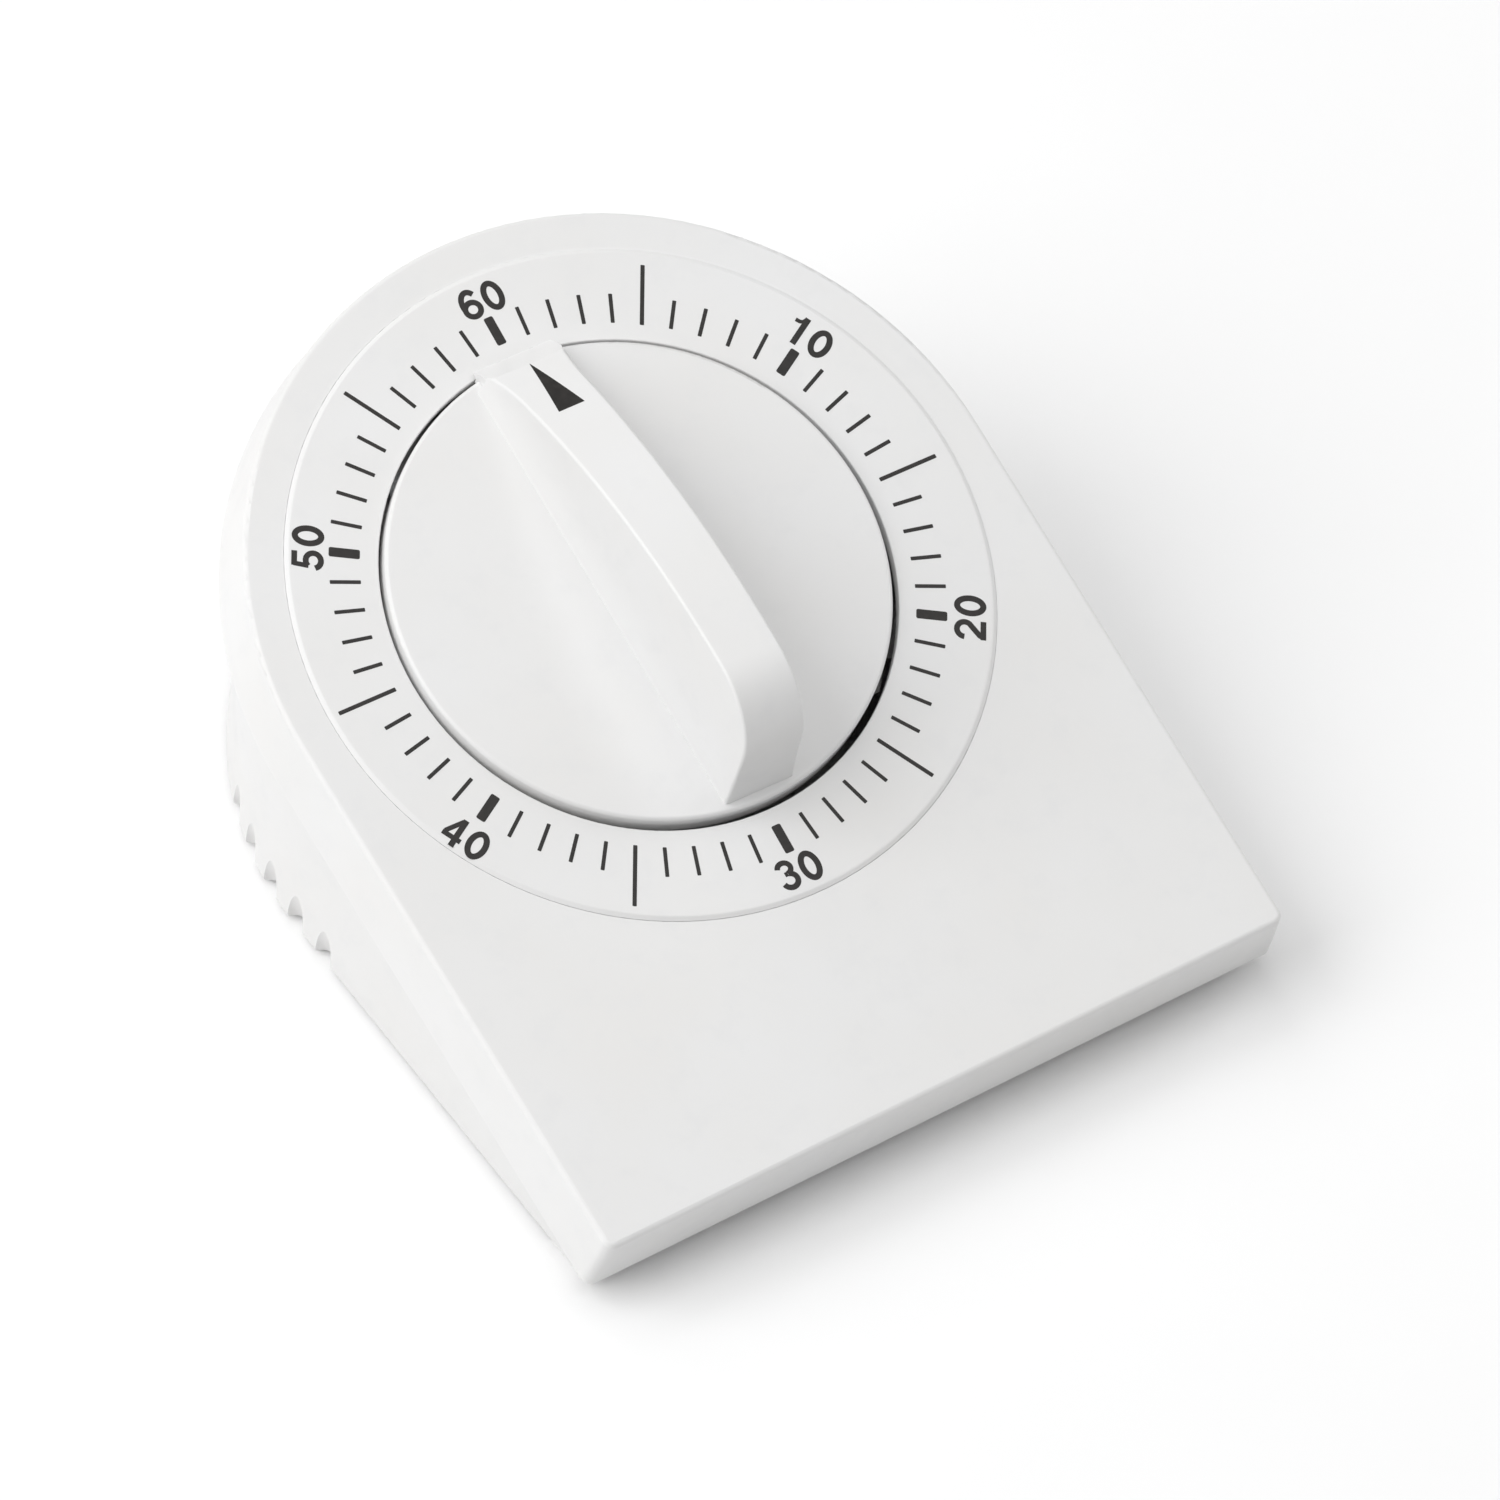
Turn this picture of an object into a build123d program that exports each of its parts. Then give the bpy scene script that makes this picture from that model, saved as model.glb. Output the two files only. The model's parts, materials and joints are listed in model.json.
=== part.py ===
from build123d import *
from math import acos, atan2, cos, degrees, pi, radians, sin, tan
import os

# Bench timer with a wind-up movement: a wedge-shaped white case with a sloping arched face,
# a printed dial ring and one big ridge-grip knob. Turning the knob clockwise winds the
# mainspring; it runs back to 60 and drops the hammer on the bell.
#
# Frame: Z up, X to the right of someone reading the dial, front of the timer towards -Y.
# The origin is on the table, under the middle of the bounding box.
# The face has its own frame: x to the right, v up the slope, h out of the face.

# ---- case
slope = 16.3  # tilt of the face, degrees
dial_height = 26.2  # dial centre above the table
face_radius = 38.5  # arch of the face, and half its width
face_front = 56.9  # dial centre to the front edge of the face
parting_radius = 39.2  # the same two at the parting line
parting_front = 57.2
shell_depth = 7.75  # face to parting line
front_corner = 1.1  # rounding of the two front corners
inner_corner = 0.6  # the same inside the walls
rim_round = 0.55  # rounded edge around the face
wall = 2.0
face_thickness = 2.4
base_setback = 1.45  # the base's arch is centred this far in front of the dial
base_radius = 38.5  # upright walls of the base
base_front = 49.6
base_narrowing = 0.5  # how much nearer its sides are at the front, each
base_corner = 1.2
base_wall = 2.6
foot = 0.5  # height of the moulded feet
foot_depth = 5.2
lip_thickness = 1.1
lip_height = 1.5
lip_play = 0.35

# ---- finger grips low on both sides of the base
grip_count = 5
grip_first = -7.75  # degrees from square to the side
grip_pitch = 7.05
grip_radius = 1.3
grip_bite = 1.35  # depth at the table
grip_rise = 4.3  # height at which it runs out

# ---- dial ring and knob
knob_offset = (-0.5, 0.06)  # the knob's axis from the middle of the face
hole_offset = (0.2, -0.1)  # the middle of the ring's hole from the knob's axis
dial_turn = -2.2  # the movement sits turned in the case by this much
dial_radius = 34.6
dial_hole = 25.25
dial_proud = 0.3
dial_seat = 1.0
dial_play = 0.03  # radial clearance of the ring in its seat
dial_bevel = 0.42  # width of the bevel around the ring
well_radius = 26.4
disc_radius = 24.65
disc_top = 1.4
disc_bottom = -1.2
disc_round = 0.4
web_bottom = 0.1  # underside of the disc's thin web
skirt_inner = 22.6
hub_radius = 4.0
hub_bottom = -2.4

# ---- movement: levels along h, all behind the face
plate_thickness = 0.8
front_plate_low = -8.8
rear_plate_low = -18.8
front_plate_high = front_plate_low + plate_thickness
rear_plate_high = rear_plate_low + plate_thickness
plate_radius = 26.0
plate_cut = -17.6  # straight lower edge of the plates
ear_reach = 29.5
pillar_radius = 1.3
pillar_spots = [(-20.5, -11.0), (20.5, -11.0), (-12.0, 20.3), (10.5, 21.2)]
ear_angles = [90, 208, 332]

spring_cup_radius = 15.3
spring_cup_high = -2.8
mainspring_inner = 2.5
mainspring_outer = 14.2
mainspring_turns = 7
mainspring_thickness = 0.35
main_radius = 1.9
great_wheel_low = -10.4
second_wheel_low = -11.9
third_wheel_low = -13.6
cam_low = -15.0
escape_wheel_low = -15.4
anchor_low = -16.2
bar_low = -17.4

pivot_play = 0.04  # radial running clearance of every pivot
bore_play = 0.02  # radial clearance of a wheel on its own arbor

# ---- gear train: teeth and module of each mesh, and where the arbors stand
wheel_teeth = 60
pinion_teeth = 10
modules = [0.40, 0.35, 0.30]
pressure_angle = radians(25)
backlash = 0.10
reach = [module * (wheel_teeth + pinion_teeth) / 2 for module in modules]
headings = [150, 35, -10]  # direction from one arbor to the next, degrees
escape_teeth = 15
escape_radius = 6.0
anchor_distance = 8.2
anchor_heading = -30

os.makedirs("parts", exist_ok=True)

tilt_cos = cos(radians(slope))
tilt_sin = sin(radians(slope))
front_lean = atan2(parting_front - face_front, shell_depth)

# The dial centre is placed so that the origin is midway between the case's front and rear.
rim_centre = face_front - rim_round * (1 - sin(front_lean)) / cos(front_lean)
front_reach = rim_centre * tilt_cos - rim_round * tilt_sin + rim_round
rear_reach = parting_radius * tilt_cos + shell_depth * tilt_sin
dial_y = (front_reach - rear_reach) / 2
base_y = dial_y - base_setback
case_face = Plane(origin=(0, dial_y, dial_height), x_dir=(1, 0, 0), z_dir=(0, -tilt_sin, tilt_cos))
face = Plane(case_face.location * Location((*knob_offset, 0)))
case_middle = (-knob_offset[0], -knob_offset[1])  # in x and v from the knob's axis


def level(h, x=0.0, v=0.0, turn=0.0):
    """The plane parallel to the face at height h, with its origin at (x, v)."""
    return Plane(face.location * Location((x, v, h), (0, 0, turn)))


def arch(radius, front, corner, narrowing=0.0):
    """Draw the case's outline in the open sketch: an arch on straight or narrowing sides."""
    Circle(radius)
    turn = atan2(narrowing, front)
    start_x, start_v = radius * cos(turn), -radius * sin(turn)
    end_x, end_v = radius - narrowing, -front
    with BuildLine() as sides:
        Polyline((start_x, start_v), (end_x, end_v), (-end_x, end_v), (-start_x, start_v), close=True)
    make_face(sides.edges())
    fillet(vertices().group_by(Axis.Y)[0], radius=corner)


def step_along(start, distance, heading):
    """The point at a distance and heading from another, in the face's x and v."""
    angle = radians(heading)
    return (start[0] + distance * cos(angle), start[1] + distance * sin(angle))


def disc(low, high, radius, spot=(0.0, 0.0), mode=Mode.ADD):
    """Add or cut a round of one radius between two levels."""
    with BuildSketch(level(low, *spot)) as round_face:
        Circle(radius)
    extrude(round_face.sketch, amount=high - low, mode=mode)


def flank_angle(radius, pitch_radius, teeth):
    """Half the angle that a tooth takes up at a radius, on an involute flank."""
    base = pitch_radius * cos(pressure_angle)
    at_pitch = tan(pressure_angle) - pressure_angle
    here = acos(min(1.0, base / max(radius, base)))
    half_pitch = pi / (2 * teeth) - backlash / (2 * pitch_radius)
    return half_pitch + at_pitch - (tan(here) - here)


def gear(teeth, module, phase):
    """Draw a spur gear in the open sketch, with one tooth centred at the angle phase."""
    pitch_radius = module * teeth / 2
    tip = pitch_radius + 0.75 * module
    root = pitch_radius - 1.15 * module
    start = max(root, pitch_radius * cos(pressure_angle))
    middle = (start + tip) / 2
    with BuildLine() as outline:
        for tooth in range(teeth):
            centre = radians(phase) + tooth * 2 * pi / teeth
            gap = centre + pi / teeth
            after = centre + 2 * pi / teeth

            def at(radius, side, base_angle=centre):
                angle = base_angle + side * flank_angle(radius, pitch_radius, teeth)
                return (radius * cos(angle), radius * sin(angle))

            if root < start:
                Line(at(root, -1), at(start, -1))
            ThreePointArc(at(start, -1), at(middle, -1), at(tip, -1))
            Line(at(tip, -1), at(tip, 1))
            ThreePointArc(at(tip, 1), at(middle, 1), at(start, 1))
            if root < start:
                Line(at(start, 1), at(root, 1))
            bottom = (root * cos(gap), root * sin(gap))
            ThreePointArc(at(root, 1), bottom, at(root, -1, after))
    make_face(outline.edges())


def wheel_blank(low, high, teeth, module, phase, spot, bore):
    """A wheel between two levels: teeth, a bore and six lightening holes."""
    pitch_radius = module * teeth / 2
    with BuildSketch(level(low, *spot)) as blank:
        gear(teeth, module, phase)
        Circle(bore, mode=Mode.SUBTRACT)
        with PolarLocations(0.58 * pitch_radius, 6):
            Circle(0.2 * pitch_radius, mode=Mode.SUBTRACT)
    extrude(blank.sketch, amount=high - low)


def meshed_phase(phase, teeth, other_teeth, heading):
    """The phase that puts a gear in mesh with one whose phase and heading are given."""
    share = (radians(heading - phase) * teeth / (2 * pi)) % 1.0
    return heading + 180 - (0.5 - share) * 360 / other_teeth


# Arbor positions and the phases that mesh the train at rest.
main_spot = (0.0, 0.0)
second_spot = step_along(main_spot, reach[0], headings[0])
third_spot = step_along(second_spot, reach[1], headings[1])
escape_spot = step_along(third_spot, reach[2], headings[2])
anchor_spot = step_along(escape_spot, anchor_distance, anchor_heading)
hammer_spot = (-8.5, -13.0)
bell_spot = (0.0, 13.0)
second_phase = meshed_phase(0, wheel_teeth, pinion_teeth, headings[0])
third_phase = meshed_phase(0, wheel_teeth, pinion_teeth, headings[1])
fourth_phase = meshed_phase(0, wheel_teeth, pinion_teeth, headings[2])

# ---- case screws: two near the front corners, two behind the movement, all vertical
case_screw_spots = [
    (-31.0, dial_y - 43.5),
    (31.0, dial_y - 43.5),
    (-27.1, dial_y + 17.0),
    (27.1, dial_y + 17.0),
]
boss_foot = 4.6
boss_radius = 3.2
pilot_radius = 1.45
screw_radius = 1.4
screw_head_radius = 2.7
screw_head_low = 0.9
screw_head_high = 2.9
screw_tip = 10.0


def face_underside(y):
    """Height of the inside of the face above the table, at a place along Y."""
    return dial_height + (y - dial_y) * tan(radians(slope)) - face_thickness / tilt_cos


# ---- front shell: face, rounded rim and drafted skirt, with a seat for the dial ring
with BuildPart() as front_shell:
    with BuildSketch(level(-shell_depth, *case_middle)):
        arch(parting_radius, parting_front, front_corner)
    with BuildSketch(level(0, *case_middle)):
        arch(face_radius, face_front, front_corner)
    loft(ruled=True)
    out_of_face = Axis(face.origin, face.z_dir)
    fillet(front_shell.faces().sort_by(out_of_face)[-1].edges(), radius=rim_round)
    with BuildSketch(level(-shell_depth, *case_middle)):
        arch(parting_radius - wall, parting_front - wall, inner_corner)
    with BuildSketch(level(-face_thickness, *case_middle)):
        arch(face_radius - wall, face_front - wall, inner_corner)
    loft(ruled=True, mode=Mode.SUBTRACT)
    for x, y in case_screw_spots:
        with BuildSketch(Plane(origin=(x, y, boss_foot))):
            Circle(boss_radius)
        extrude(amount=face_underside(y) + 1.0 - boss_foot)
    for angle in ear_angles:
        disc(front_plate_high, -face_thickness + 0.3, 2.6, step_along(main_spot, ear_reach, angle))
    for x, y in case_screw_spots:
        with BuildSketch(Plane(origin=(x, y, boss_foot))):
            Circle(pilot_radius)
        extrude(amount=screw_tip + 0.6 - boss_foot, mode=Mode.SUBTRACT)
    for angle in ear_angles:
        disc(front_plate_high, -3.6, 0.95, step_along(main_spot, ear_reach, angle), Mode.SUBTRACT)
    disc(-dial_seat, rim_round, dial_radius + dial_play, case_middle, Mode.SUBTRACT)
    disc(-face_thickness, 0, well_radius, hole_offset, Mode.SUBTRACT)
front_shell.part.label = "front_shell"
export_step(front_shell.part, "parts/front_shell.step")

# ---- base shell: upright walls, floor, moulded feet, a locating lip and finger grips
with BuildPart() as base_shell:
    with BuildSketch(Plane(origin=(0, base_y, foot))):
        arch(base_radius, base_front, base_corner, base_narrowing)
    extrude(amount=dial_height)
    fillet(base_shell.faces().sort_by(Axis.Z)[0].edges(), radius=0.5)
    with BuildSketch(Plane(origin=(0, base_y, foot + wall))):
        arch(base_radius - base_wall, base_front - base_wall, inner_corner, base_narrowing)
    extrude(amount=dial_height, mode=Mode.SUBTRACT)
    with BuildSketch(level(-shell_depth)):
        Rectangle(4 * base_radius, 4 * base_radius)
    extrude(amount=2 * dial_height, mode=Mode.SUBTRACT)
    lip_outline = (parting_radius - wall - lip_play, parting_front - wall - lip_play)
    with BuildSketch(level(-shell_depth - 1.0, *case_middle)):
        arch(*lip_outline, inner_corner)
        inner = (side - lip_thickness for side in lip_outline)
        with BuildSketch(mode=Mode.SUBTRACT):
            arch(*inner, inner_corner)
    extrude(amount=1.0 + lip_height)
    for x, y in case_screw_spots:
        with BuildSketch(Plane(origin=(x, y, foot))):
            Circle(boss_radius + 0.9)
        extrude(amount=boss_foot - foot)
    for x, y in case_screw_spots:
        with BuildSketch(Plane(origin=(x, y, 0))):
            Circle(screw_radius + 0.2)
        extrude(amount=boss_foot, mode=Mode.SUBTRACT)
        with BuildSketch(Plane(origin=(x, y, 0))):
            Circle(screw_head_radius + 0.3)
        extrude(amount=screw_head_high, mode=Mode.SUBTRACT)
    for middle in (-base_front + foot_depth / 2, base_radius - foot_depth):
        with BuildSketch(Plane(origin=(0, base_y, 0))):
            arch(base_radius - 0.5, base_front - 0.5, base_corner, base_narrowing)
            with Locations((0, middle)):
                Rectangle(4 * base_radius, 1.4 * foot_depth, mode=Mode.INTERSECT)
        extrude(amount=foot + 0.3)
    for side in (-1, 1):
        for grip in range(grip_count):
            angle = radians(grip_first + grip * grip_pitch)
            across = max(0.0, angle)
            out = (side * cos(across), sin(across), 0)
            place = Vector(side * base_radius, base_radius * tan(angle), 0)
            if angle > 0:
                place = Vector(out) * base_radius
            lean = grip_bite / grip_rise
            start = place + Vector(out) * (grip_radius - grip_bite - lean * foot)
            axis = Vector(out) * lean + Vector(0, 0, 1)
            with BuildSketch(Plane(origin=start + Vector(0, base_y, -0.01), z_dir=axis)):
                Circle(grip_radius)
            extrude(amount=2 * grip_rise, mode=Mode.SUBTRACT)
base_shell.part.label = "base_shell"
export_step(base_shell.part, "parts/base_shell.step")

# ---- case screws, recessed into the base
with BuildPart() as case_screws:
    for x, y in case_screw_spots:
        with BuildSketch(Plane(origin=(x, y, screw_head_low))):
            Circle(screw_head_radius)
        extrude(amount=screw_head_high - screw_head_low)
        with BuildSketch(Plane(origin=(x, y, screw_head_high))):
            Circle(screw_radius)
        extrude(amount=screw_tip - screw_head_high)
        with BuildSketch(Plane(origin=(x, y, screw_head_low))):
            Rectangle(3.0, 0.7)
            Rectangle(0.7, 3.0)
        extrude(amount=0.9, mode=Mode.SUBTRACT)
case_screws.part.label = "case_screws"
export_step(case_screws.part, "parts/case_screws.step")

# ---- dial ring, lying in its seat and standing a little proud of the face
with BuildPart() as dial_ring:
    ring_middle = level(0, *case_middle)
    with BuildSketch(Plane(ring_middle.location * Location((0, 0, 0), (90, 0, 0)))) as ring_section:
        with BuildLine():
            bevel_foot = (dial_radius, 0.2 * dial_proud)
            Polyline((0, dial_proud), (0, -dial_seat), (dial_radius, -dial_seat), bevel_foot)
            Polyline(bevel_foot, (dial_radius - dial_bevel, dial_proud), (0, dial_proud))
        make_face()
        fillet(ring_section.vertices().sort_by(Axis.X)[-3], radius=0.4)
    revolve(axis=Axis(ring_middle.origin, face.z_dir))
    disc(-dial_seat, dial_proud, dial_hole, hole_offset, Mode.SUBTRACT)
    top = dial_ring.faces().sort_by(out_of_face)[-1]
    fillet(top.edges().sort_by(SortBy.RADIUS)[0], radius=0.15)
dial_ring.part.label = "dial_ring"
export_step(dial_ring.part, "parts/dial_ring.step")

# ---- knob: a flat disc carrying a bar grip that falls towards its pointer end
dial_plane = level(0, turn=dial_turn)
grip_across = Plane(dial_plane.location * Location((0, 0, 0), (90, 0, 0)))
grip_along = Plane(dial_plane.location * Location((0, 0, 0), (90, 90, 0)))
across_grip = Axis(dial_plane.origin, dial_plane.x_dir)
crest_half = 3.1
crest_level = 18.0
wall_half = 3.5  # half width where the flare at the foot begins
wall_foot = 6.0
flare_ends = [(26.0, 5.15), (-26.0, 3.75)]  # v, and where the flare reaches the disc there
grip_floor = 0.4
tip_reach = 25.3
bore_flat = 1.15  # the arbor's flat, from its centre
bore_top = 7.2
disc_flat = disc_radius - 2 * disc_round
with BuildPart() as knob:
    for v, flare_half in flare_ends:
        with BuildSketch(Plane(dial_plane.location * Location((0, v, 0), (90, 0, 0)))):
            with BuildLine():
                Polyline((0, grip_floor), (0, crest_level), (crest_half, crest_level))
                Line((crest_half, crest_level), (wall_half, wall_foot))
                steep = (wall_half - crest_half, wall_foot - crest_level)
                TangentArc((wall_half, wall_foot), (flare_half, disc_top), tangent=steep)
                Polyline((flare_half, disc_top), (flare_half, grip_floor), (0, grip_floor))
            make_face()
            mirror(about=Plane.YZ)
    loft(ruled=True)
    with BuildSketch(grip_along):
        with BuildLine() as profile:
            ThreePointArc((23.2, 3.6), (1.7, 13.1), (-15.0, 15.55))
            TangentArc((-15.0, 15.55), (-22.6, 8.7), tangent=profile.line % 1)
            Polyline((-22.6, 8.7), (-23.8, 0.2), (24.6, 0.2), (24.6, 0.9), (tip_reach, 1.1), (23.2, 3.6))
        make_face()
    extrude(amount=2 * disc_radius, both=True, mode=Mode.INTERSECT)
    crest = knob.edges().filter_by_position(out_of_face, 6.5, 20)
    fillet(crest.filter_by(across_grip, reverse=True), radius=0.3)
    with BuildSketch(level(-5, turn=dial_turn)):
        Circle(disc_flat)
        with Locations((0, tip_reach - 5)):
            Rectangle(8.6, 10)
    extrude(amount=40, mode=Mode.INTERSECT)
    with BuildSketch(grip_across) as disc_section:
        with BuildLine():
            Polyline((0, disc_top), (0, hub_bottom), (hub_radius, hub_bottom), (hub_radius, web_bottom))
            Polyline((hub_radius, web_bottom), (skirt_inner, web_bottom), (skirt_inner, disc_bottom))
            Polyline((skirt_inner, disc_bottom), (disc_radius, disc_bottom), (disc_radius, disc_top))
            Line((disc_radius, disc_top), (0, disc_top))
        make_face()
        outer_top = disc_section.vertices().group_by(Axis.X)[-1].sort_by(Axis.Y)[-1]
        fillet(outer_top, radius=disc_round)
    revolve(axis=out_of_face)
    with BuildSketch(level(hub_bottom, turn=dial_turn)):
        Circle(1.63)
        with Locations((bore_flat + 1.03, 0)):
            Rectangle(2, 4, mode=Mode.SUBTRACT)
    extrude(amount=bore_top - hub_bottom, mode=Mode.SUBTRACT)
knob.part.label = "knob"
export_step(knob.part, "parts/knob.step")

# ---- spring clip that holds the knob's hub on the arbor
with BuildPart() as knob_clip:
    with BuildSketch(level(hub_bottom + 0.2)):
        Circle(5.0)
        Circle(hub_radius + bore_play, mode=Mode.SUBTRACT)
        with Locations((0, -4)):
            Rectangle(3, 4, mode=Mode.SUBTRACT)
    extrude(amount=0.6)
knob_clip.part.label = "knob_clip"
export_step(knob_clip.part, "parts/knob_clip.step")

# ---- main arbor: flatted end in the knob, spring seat, collar, wheel seat and rear pivot
with BuildPart() as main_arbor:
    with BuildSketch(level(hub_bottom - 0.3, turn=dial_turn)):
        Circle(1.6)
        with Locations((bore_flat + 1.0, 0)):
            Rectangle(2, 4, mode=Mode.SUBTRACT)
    extrude(amount=bore_top - 0.2 - hub_bottom + 0.3)
    disc(rear_plate_high + 0.1, hub_bottom - 0.3, main_radius)
    disc(front_plate_low - 0.4, front_plate_low - 0.05, 2.7)
    disc(rear_plate_low - 0.5, rear_plate_high + 0.1, 1.0)
main_arbor.part.label = "main_arbor"
export_step(main_arbor.part, "parts/main_arbor.step")

# ---- mainspring: a flat strip wound as half circles whose radius grows by half a pitch
with BuildPart() as mainspring:
    with BuildSketch(level(front_plate_high + 0.4)):
        half_turns = 2 * mainspring_turns
        growth = (mainspring_outer - mainspring_inner) / half_turns
        with BuildLine() as strip:
            for edge in (-mainspring_thickness / 2, mainspring_thickness / 2):
                for turn in range(half_turns):
                    offset_x = growth / 2 * (1 if turn % 2 else -1)
                    coil = mainspring_inner + growth * (turn + 0.5)
                    CenterArc((offset_x, 0), coil + edge, 180 * turn, 180)
            inner_end = mainspring_inner - mainspring_thickness / 2
            Line((inner_end, 0), (inner_end + mainspring_thickness, 0))
            outer_end = mainspring_outer - mainspring_thickness / 2
            Line((outer_end, 0), (outer_end + mainspring_thickness, 0))
        make_face()
    extrude(amount=4.0)
mainspring.part.label = "mainspring"
export_step(mainspring.part, "parts/mainspring.step")

# ---- drawn cup that closes the mainspring in, standing on the front plate
with BuildPart() as spring_cup:
    disc(front_plate_high, spring_cup_high, spring_cup_radius)
    disc(front_plate_high, spring_cup_high - 0.4, spring_cup_radius - 0.5, mode=Mode.SUBTRACT)
    disc(spring_cup_high - 0.4, spring_cup_high, 5.4, mode=Mode.SUBTRACT)
    fillet(spring_cup.faces().sort_by(out_of_face)[-1].edges().sort_by(SortBy.RADIUS)[-1], radius=0.35)
spring_cup.part.label = "spring_cup"
export_step(spring_cup.part, "parts/spring_cup.step")


def plate_blank(low, ears):
    """A movement plate with its straight lower edge, and its ears if it has them."""
    with BuildSketch(level(low)) as blank:
        Circle(plate_radius)
        with Locations((0, plate_cut - plate_radius)):
            Rectangle(2 * plate_radius, 2 * plate_radius, mode=Mode.SUBTRACT)
        for angle in ears:
            with Locations(step_along(main_spot, ear_reach - 3, angle)):
                SlotCenterToCenter(6, 6, rotation=angle)
    extrude(blank.sketch, amount=plate_thickness)


pivots = {second_spot: 0.40, third_spot: 0.40, escape_spot: 0.32, anchor_spot: 0.28}

# ---- front plate, with the pivot holes, the pillar screws' holes and three fixing ears
with BuildPart() as front_plate:
    plate_blank(front_plate_low, ear_angles)
    drilled = {main_spot: main_radius + pivot_play, hammer_spot: 0.5 + pivot_play}
    drilled.update({spot: radius + pivot_play for spot, radius in pivots.items()})
    drilled.update({spot: 0.85 for spot in pillar_spots})
    drilled.update({step_along(main_spot, ear_reach, angle): 1.1 for angle in ear_angles})
    for spot, radius in drilled.items():
        disc(front_plate_low, front_plate_high, radius, spot, Mode.SUBTRACT)
front_plate.part.label = "front_plate"
export_step(front_plate.part, "parts/front_plate.step")

# ---- rear plate, into which the pillars and the bell post are riveted
with BuildPart() as rear_plate:
    plate_blank(rear_plate_low, [])
    drilled = {main_spot: 1.0 + pivot_play, hammer_spot: 0.9 + pivot_play, bell_spot: 1.2}
    drilled.update({spot: radius + pivot_play for spot, radius in pivots.items()})
    drilled.update({spot: 0.8 for spot in pillar_spots})
    for spot, radius in drilled.items():
        disc(rear_plate_low, rear_plate_high, radius, spot, Mode.SUBTRACT)
rear_plate.part.label = "rear_plate"
export_step(rear_plate.part, "parts/rear_plate.step")

# ---- four pillars between the plates, and the screws that close the front plate on them
with BuildPart() as pillars:
    for spot in pillar_spots:
        disc(rear_plate_high, front_plate_low, pillar_radius, spot)
        disc(rear_plate_low, rear_plate_high, 0.8, spot)
        disc(front_plate_low - 3.4, front_plate_low, 0.78, spot, Mode.SUBTRACT)
pillars.part.label = "pillars"
export_step(pillars.part, "parts/pillars.step")


def screw(head_low, head_high, head_radius, shank_low, shank_high, shank_radius, spot):
    """A slotted cheese-head screw; the slot is cut in the end of the head away from the shank."""
    disc(head_low, head_high, head_radius, spot)
    disc(shank_low, shank_high, shank_radius, spot)
    outer = head_high - 0.4 if shank_low < head_low else head_low
    with BuildSketch(level(outer, *spot, turn=30)) as slot:
        Rectangle(3 * head_radius, 0.4)
    extrude(slot.sketch, amount=0.4, mode=Mode.SUBTRACT)


with BuildPart() as plate_screws:
    for spot in pillar_spots:
        screw(front_plate_high, -7.1, 1.7, front_plate_low - 3.0, front_plate_high, 0.74, spot)
plate_screws.part.label = "plate_screws"
export_step(plate_screws.part, "parts/plate_screws.step")

# ---- three screws from behind the front plate into the front shell
with BuildPart() as movement_screws:
    for angle in ear_angles:
        spot = step_along(main_spot, ear_reach, angle)
        screw(front_plate_low - 1.1, front_plate_low, 1.9, front_plate_low, -4.2, 0.9, spot)
movement_screws.part.label = "movement_screws"
export_step(movement_screws.part, "parts/movement_screws.step")

# ---- great wheel with its friction clutch: a star spring above it and a fast collar below
with BuildPart() as great_wheel:
    great_wheel_bore = main_radius + bore_play
    great_wheel_high = great_wheel_low + 0.8
    wheel_blank(great_wheel_low, great_wheel_high, wheel_teeth, modules[0], 0, main_spot, great_wheel_bore)
great_wheel.part.label = "great_wheel"
export_step(great_wheel.part, "parts/great_wheel.step")

with BuildPart() as clutch_spring:
    with BuildSketch(level(great_wheel_low + 0.83)):
        Circle(3.0)
        with PolarLocations(3.2, 3):
            SlotCenterToCenter(3.2, 1.8)
        Circle(great_wheel_bore, mode=Mode.SUBTRACT)
    extrude(amount=0.3)
clutch_spring.part.label = "clutch_spring"
export_step(clutch_spring.part, "parts/clutch_spring.step")

with BuildPart() as clutch_collar:
    with BuildSketch(level(great_wheel_low - 0.7)):
        Circle(3.8)
        Circle(great_wheel_bore, mode=Mode.SUBTRACT)
    extrude(amount=0.65)
clutch_collar.part.label = "clutch_collar"
export_step(clutch_collar.part, "parts/clutch_collar.step")

# ---- alarm cam: a round disc with one notch, facing the follower when the knob is at 60
cam_radius = 6.0
with BuildPart() as alarm_cam:
    with BuildSketch(level(cam_low)):
        Circle(cam_radius)
        Circle(great_wheel_bore, mode=Mode.SUBTRACT)
        with Locations((-cam_radius, -0.4)):
            Rectangle(3.2, 2.4, mode=Mode.SUBTRACT)
    extrude(amount=0.8)
alarm_cam.part.label = "alarm_cam"
export_step(alarm_cam.part, "parts/alarm_cam.step")

# ---- the train's pinions, each cut on its own arbor, and the wheels pressed on them
train = [
    ("second", second_spot, modules[0], great_wheel_low, second_phase, 0.80, 0.40),
    ("third", third_spot, modules[1], second_wheel_low, third_phase, 0.75, 0.40),
    ("escape", escape_spot, modules[2], third_wheel_low, fourth_phase, 0.60, 0.32),
]
for name, spot, module, mesh_low, phase, arbor_radius, pivot_radius in train:
    with BuildPart() as pinion:
        with BuildSketch(level(mesh_low - 0.4, *spot)):
            gear(pinion_teeth, module, phase)
        extrude(amount=1.5)
        disc(rear_plate_high + 0.1, front_plate_low - 0.1, arbor_radius, spot)
        disc(rear_plate_low, front_plate_high, pivot_radius, spot)
    pinion.part.label = f"{name}_pinion"
    export_step(pinion.part, f"parts/{name}_pinion.step")

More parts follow.
